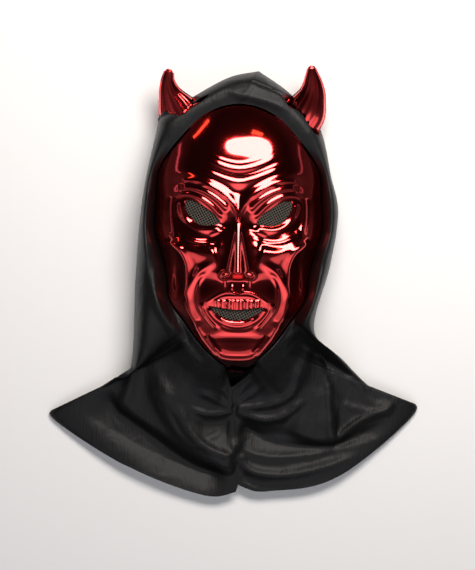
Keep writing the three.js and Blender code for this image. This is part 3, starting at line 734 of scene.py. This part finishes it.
def hood_start(ax, ay):
    """Height at which each column starts: over the mask's relief up to a limit, or the chin's table, evened
    out over its neighbours."""
    start = np.minimum(face_height(ax, ay), HIGHEST_START) + CLOTH + GAP["mask"]
    under_chin = np.interp(-ay, CHIN_START["depth"], CHIN_START["height"])
    start = np.where(-ay > CHIN_START["depth"][0], under_chin, start)
    near = np.arange(-START_SPREAD["columns"], START_SPREAD["columns"] + 1)
    spread = np.exp(-(near / START_SPREAD["width"])**2)
    return sum(np.roll(start, k, axis=0) * w for k, w in zip(near, spread / spread.sum()))


def slit_steps(ax, ay, bx, by):
    """Whether each column crosses a slit, and the steps, from 0 to 1, at which its cloth ends before the slit
    and goes on behind it. The share of the way is sin(step * 90 deg)."""
    fine = np.linspace(0, 1, LIP_SAMPLES)[None, :]
    fx, fy = ax + (bx - ax) * fine, ay + (by - ay) * fine
    slit = np.zeros(COLUMNS, bool)
    front_step = np.full(COLUMNS, BAND_STEP)
    back_step = np.full(COLUMNS, np.nan)
    for lips in SLITS:
        crossings = []
        for lip in lips:
            distance, share, _, _ = from_path(fx, fy, smooth_path(lip))
            crossed = np.diff(np.sign(distance), axis=1) != 0
            crossed &= (share[:, 1:] > 0) & (share[:, 1:] < 1)
            crossings.append((crossed.any(axis=1), fine[0, np.argmax(crossed, axis=1)]))
        (found, front), (found_back, back) = crossings
        both = found & found_back & (back > front)
        slit |= both
        front_step[both] = np.arcsin(front[both]) * 2 / np.pi
        back_step[both] = np.arcsin(back[both]) * 2 / np.pi
    order = np.arange(COLUMNS)
    half_round = COLUMNS / 2
    from_slit = np.minimum.reduce([np.abs((order - c + half_round) % COLUMNS - half_round)
                                   for c in np.flatnonzero(slit)])
    known = slit | (from_slit > SLIT_BLEND)
    front_step = np.interp(order, order[known], front_step[known])
    row_step = (1 - BAND_STEP) / (HOOD_OUT - BAND_ROWS)
    return slit, front_step, np.where(slit, back_step, front_step + row_step)


def hood_heights(x, y, share, angle, start, flat, opened, before):
    """Height of the cloth along each column,
    low + (level - low) * sqrt(1 - share ** power) + (start - level) * (1 - share) ** 4,
    where low is the outer edge, level is the start and its bulge or, where it lies flat, the cape, and the
    power goes from 5 at the face to 8 on the cape. It stays over the mask and, before a slit, over the horns
    by 0.5 * (z + clear + sqrt((z - clear) ** 2 + softness)); behind it, it goes under them."""
    low = SEWN_EDGE + (FLAP_LEVEL - SEWN_EDGE) * opened
    top = ease((np.sin(angle) - BULGE["from"]) / BULGE["over"])
    bulge = BULGE["sides"] + (BULGE["top"] - BULGE["sides"]) * top
    level = start + bulge * (1 - ease(flat)) + (FLAP_LEVEL - start) * ease(flat)
    power = HEIGHT_POWER["face"] + (HEIGHT_POWER["cape"] - HEIGHT_POWER["face"]) * flat
    z = (low + (level - low) * np.sqrt(np.maximum(1 - share**power, 0))
         + (start - level) * (1 - share)**HEIGHT_POWER["start"])
    radius, _ = rim_toward(np.arctan2(y - FACE_MIDDLE, x))
    on_mask = np.hypot(x, y - FACE_MIDDLE) < radius - GAP["rim"]
    clear = np.where(on_mask, face_height(x, y) + CLOTH + GAP["mask"], GAP["none"])
    for line in HORNS:
        line_level, half, top, distance = horn_top(x, y, line)
        over = before & (distance < half + GAP["beside horn"])
        clear = np.where(over, np.maximum(clear, top + CLOTH + GAP["horn"]), clear)
        near = 1 - ease((distance - half) / GAP["fade"])
        z = np.where(before, z, z + (np.minimum(z, line_level - GAP["under horn"]) - z) * near)
    z = 0.5 * (z + clear + np.sqrt((z - clear)**2 + GAP["softness"]))
    fade_out, fade_in = np.minimum(1, FOLD_FADE["out"] * (1 - share)), np.minimum(1, FOLD_FADE["in"] * share)
    return z + with_folds(np.zeros(x.shape), x, y, HOOD_FOLDS, HOOD_CREST) * fade_out * fade_in


def hood():
    """The hood as one bag. The columns of the front go straight out in plan from the opening's edge to the
    outer edge, and from there the back is flat to its middle. The slits and the hem are left open."""
    angle, ax, ay, bx, by, flat, opened = hood_columns()
    slit, front_step, back_step = slit_steps(ax, ay, bx, by)
    band = np.linspace(0, 1, BAND_ROWS + 1)[None, :]
    beyond = np.linspace(0, 1, HOOD_OUT - BAND_ROWS)[None, :]
    step = np.hstack([front_step[:, None] * band, back_step[:, None] + (1 - back_step[:, None]) * beyond])
    share = np.sin(step * np.pi / 2)
    x, y = ax + (bx - ax) * share, ay + (by - ay) * share
    before = (np.arange(HOOD_OUT + 1)[None, :] <= BAND_ROWS) | ~slit[:, None]
    z = hood_heights(x, y, share, angle, hood_start(ax, ay), flat, opened, before)
    front = np.stack([x, y, z], axis=-1)
    inwards = np.linspace(1, 0, HOOD_BACK + 1)[1:][None, :, None]
    middle = np.array(BACK_LAYER["middle"])
    back = middle + (front[:, -1:, :] * (1, 1, 0) - middle) * inwards + (0, 0, BACK_LAYER["level"])
    points = np.swapaxes(np.concatenate([front, back], axis=1), 0, 1)
    faces = grid_faces(len(points), COLUMNS, closed=True)
    kept = np.ones(faces.shape[:2], bool)
    after = np.roll(np.arange(COLUMNS), -1)
    at_hem = opened[:, 0] > 0.5
    kept[BAND_ROWS, slit & slit[after]] = False
    kept[HOOD_OUT, at_hem & at_hem[after]] = False
    return points.reshape(-1, 3), [faces[kept]]


def linear(code):
    """sRGB hex colour as linear values."""
    value = np.array([int(code[i:i + 2], 16) for i in (1, 3, 5)]) / 255
    return (*np.where(value <= 0.04045, value / 12.92, ((value + 0.055) / 1.055)**2.4), 1)


def add_node(tree, kind, sockets=None, **settings):
    """Adds a node with its settings, and its sockets as values or as links from other nodes' outputs."""
    node = tree.nodes.new("ShaderNode" + kind)
    for name, value in settings.items():
        setattr(node, name, value)
    for name, value in (sockets or {}).items():
        if isinstance(value, bpy.types.NodeSocket):
            tree.links.new(value, node.inputs[name])
        else:
            node.inputs[name].default_value = value
    return node


def new_material(name):
    """An empty node material and its tree."""
    material = bpy.data.materials.new(name)
    material.use_nodes = True
    material.node_tree.nodes.clear()
    return material, material.node_tree


def finish_material(tree, shader):
    """Links the shader to the material's output."""
    add_node(tree, "OutputMaterial", {"Surface": shader.outputs[0]})


def red_metallised_plastic():
    """Thermoformed sheet, vacuum metallised and lacquered red."""
    material, tree = new_material("red metallised plastic")
    place = add_node(tree, "TexCoord").outputs["Object"]
    # Slow waves of about 17 mm, left by the moulding: the eye sees reflections that waver a little.
    waves = add_node(tree, "TexNoise", {"Vector": place, "Scale": 60.0, "Detail": 1.0})
    bump = add_node(tree, "Bump", {"Height": waves.outputs[0], "Distance": 0.0004, "Strength": 0.3})
    # A red mirror that blurs the studio slightly, under a clear lacquer with sharp white highlights.
    shader = add_node(tree, "BsdfPrincipled", {
        "Base Color": linear("#db2c2d"), "Metallic": 1.0, "Roughness": 0.09, "Normal": bump.outputs[0],
        "Coat Weight": 1.0, "Coat Roughness": 0.04})
    finish_material(tree, shader)
    return material


def matt_material(name, colour, roughness):
    """A plain colour without pattern or sheen."""
    material, tree = new_material(name)
    shader = add_node(tree, "BsdfPrincipled", {"Base Color": linear(colour), "Roughness": roughness})
    finish_material(tree, shader)
    return material


def black_satin():
    """Polyester satin: its long floats give the eye a soft, slightly stretched sheen on near black."""
    material, tree = new_material("black satin")
    place = add_node(tree, "TexCoord").outputs["Object"]
    # The threads, about 0.15 mm apart, are too fine to show and are drawn about ten times coarser, 1.6 mm:
    # the eye sees a faint grain in the sheen.
    stretched = add_node(tree, "Mapping", {"Vector": place, "Scale": (620.0, 80.0, 200.0)})
    weave = add_node(tree, "TexNoise", {"Vector": stretched.outputs[0], "Scale": 1.0, "Detail": 2.0})
    # Soft creases of about 21 mm from wear and folding: the eye sees the sheen break up on the broad forms.
    crumple = add_node(tree, "TexNoise", {"Vector": place, "Scale": 48.0, "Detail": 2.0, "Roughness": 0.45,
                                          "Distortion": 0.8})
    soft = add_node(tree, "Bump", {"Height": crumple.outputs[0], "Distance": 0.0016, "Strength": 0.7})
    bump = add_node(tree, "Bump", {"Height": weave.outputs[0], "Distance": 0.0004, "Strength": 0.8,
                                   "Normal": soft.outputs[0]})
    shader = add_node(tree, "BsdfPrincipled", {
        "Base Color": linear("#050506"), "Roughness": 0.52, "Specular IOR Level": 0.35,
        "Specular Tint": linear("#f8f9ff"), "Anisotropic": 0.3, "Normal": bump.outputs[0]})
    finish_material(tree, shader)
    return material


def panel(name, centre, half, radiance, colour="#ffffff", shape="RECTANGLE", turn=0):
    """A soft panel facing down: power = radiance * pi * area. Centre and half size are in mm."""
    light = bpy.data.lights.new(name, "AREA")
    light.shape = shape
    light.size, light.size_y = 2 * half[0] * MM, 2 * half[1] * MM
    light.energy = radiance * math.pi * light.size * light.size_y * (math.pi / 4 if shape == "ELLIPSE" else 1)
    light.color = linear(colour)[:3]
    lamp = bpy.data.objects.new(name, light)
    lamp.location = np.array(centre) * MM
    lamp.rotation_euler = (0, 0, math.radians(turn))
    lamp.visible_camera = False
    bpy.context.scene.collection.objects.link(lamp)


def patch_of_light(tree, direction, stretch, shift, strength):
    """A soft patch: the strength where direction * stretch + shift is zero, fading to none at length one."""
    place = add_node(tree, "VectorMath", {0: direction, 1: stretch, 2: shift}, operation="MULTIPLY_ADD")
    reach = add_node(tree, "VectorMath", {0: place.outputs[0]}, operation="LENGTH")
    patch = add_node(tree, "MapRange", {"Value": reach.outputs["Value"], "To Min": strength, "To Max": 0.0},
                     interpolation_type="SMOOTHSTEP")
    return patch.outputs[0]


def studio_surroundings():
    """The room that the mask mirrors, a little blue: dim at the horizon and dark overhead, with a wide glow
    and a smaller, bright one past the chin, which the lower face mirrors."""
    world = bpy.data.worlds.new("studio")
    world.use_nodes = True
    tree = world.node_tree
    direction = add_node(tree, "TexCoord").outputs["Generated"]
    height = add_node(tree, "SeparateXYZ", {"Vector": direction}).outputs["Z"]
    room = add_node(tree, "MapRange", {"Value": height, "From Max": 0.55, "To Min": 0.1, "To Max": 0.012})
    small_glow = patch_of_light(tree, direction, (1.1, 2.9, 0), (0, 1.4, 0), 1.0)
    wide_glow = patch_of_light(tree, direction, (0.75, 1.5, 0), (0, 0.65, 0), 0.18)
    dim = add_node(tree, "Math", {0: room.outputs[0], 1: wide_glow}, operation="ADD")
    glow = add_node(tree, "Math", {0: dim.outputs[0], 1: small_glow}, operation="ADD")
    tint = add_node(tree, "VectorMath", {0: glow.outputs[0], 1: (0.99, 0.99, 1.03)}, operation="MULTIPLY")
    tree.links.new(tint.outputs[0], tree.nodes["Background"].inputs["Color"])
    return world


scene = bpy.context.scene
scene.view_settings.view_transform = "Standard"

mask = make_piece("mask", [face_sheet(), *map(horn, HORNS)], red_metallised_plastic())
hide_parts("mask_shell")

# Stiffened plain-woven gauze. Its threads are modelled: the eye sees matt grey threads on black.
gauze_finish = matt_material("black gauze", "#59544e", 0.85)
for name, outline, node in (("eye_gauze_left", OPENINGS[0], "eye_mesh_left"),
                            ("eye_gauze_right", OPENINGS[1], "eye_mesh_right"),
                            ("mouth_gauze", OPENINGS[2], "mouth_mesh")):
    piece = make_piece(name, gauze(outline), gauze_finish)
    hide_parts(node)

cloth = make_piece("satin_hood", [hood()], black_satin(), sharp=80)
wall = cloth.modifiers.new("cloth thickness", "SOLIDIFY")
wall.thickness = CLOTH * MM
wall.offset = -1
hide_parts("hood_front", "hood_back")

floor_mesh = bpy.data.meshes.new("floor")
floor_mesh.from_pydata([(-3, -3, -0.0005), (3, -3, -0.0005), (3, 3, -0.0005), (-3, 3, -0.0005)], [],
                       [(0, 1, 2, 3)])
floor = bpy.data.objects.new("floor", floor_mesh)
# Matt paper, nearly white, in place of the photo's plain backdrop.
floor_mesh.materials.append(matt_material("pale floor", "#fafbff", 0.9))
scene.collection.objects.link(floor)

# Left and right are the picture's here. The face mirrors a panel where it tilts halfway towards it: the
# softbox on the forehead and the relief's upper sides, the low panels on its lower sides, the strips along
# the sides of the face, the reflectors as orange spots on the forehead.
panel("key", (245, 620, 1100), (450, 290), 15.0, "#fff8ee", "ELLIPSE")
panel("low panel", (0, -650, 1100), (1150, 450), 0.5, shape="ELLIPSE")
panel("left strip", (-2300, 300, 900), (130, 800), 0.9, "#efe6ff")
panel("low left panel", (-1900, -500, 1100), (350, 500), 0.25)
panel("right strip", (2300, 300, 900), (130, 800), 0.5, "#efe6ff")
panel("warm reflector left", (-1180, 1420, 1100), (400, 100), 3.0, "#ffb880", turn=45)
panel("warm reflector right", (330, 1080, 1100), (140, 80), 3.2, "#ffb880", turn=-15)
scene.world = studio_surroundings()

lens = bpy.data.cameras.new("camera")
lens.lens = 134.2
lens.sensor_width = 36
camera = bpy.data.objects.new("camera", lens)
camera.location = (0, -46 * MM, 2200 * MM)
camera.rotation_euler = (0, 0, math.radians(0.8))
scene.collection.objects.link(camera)
scene.camera = camera
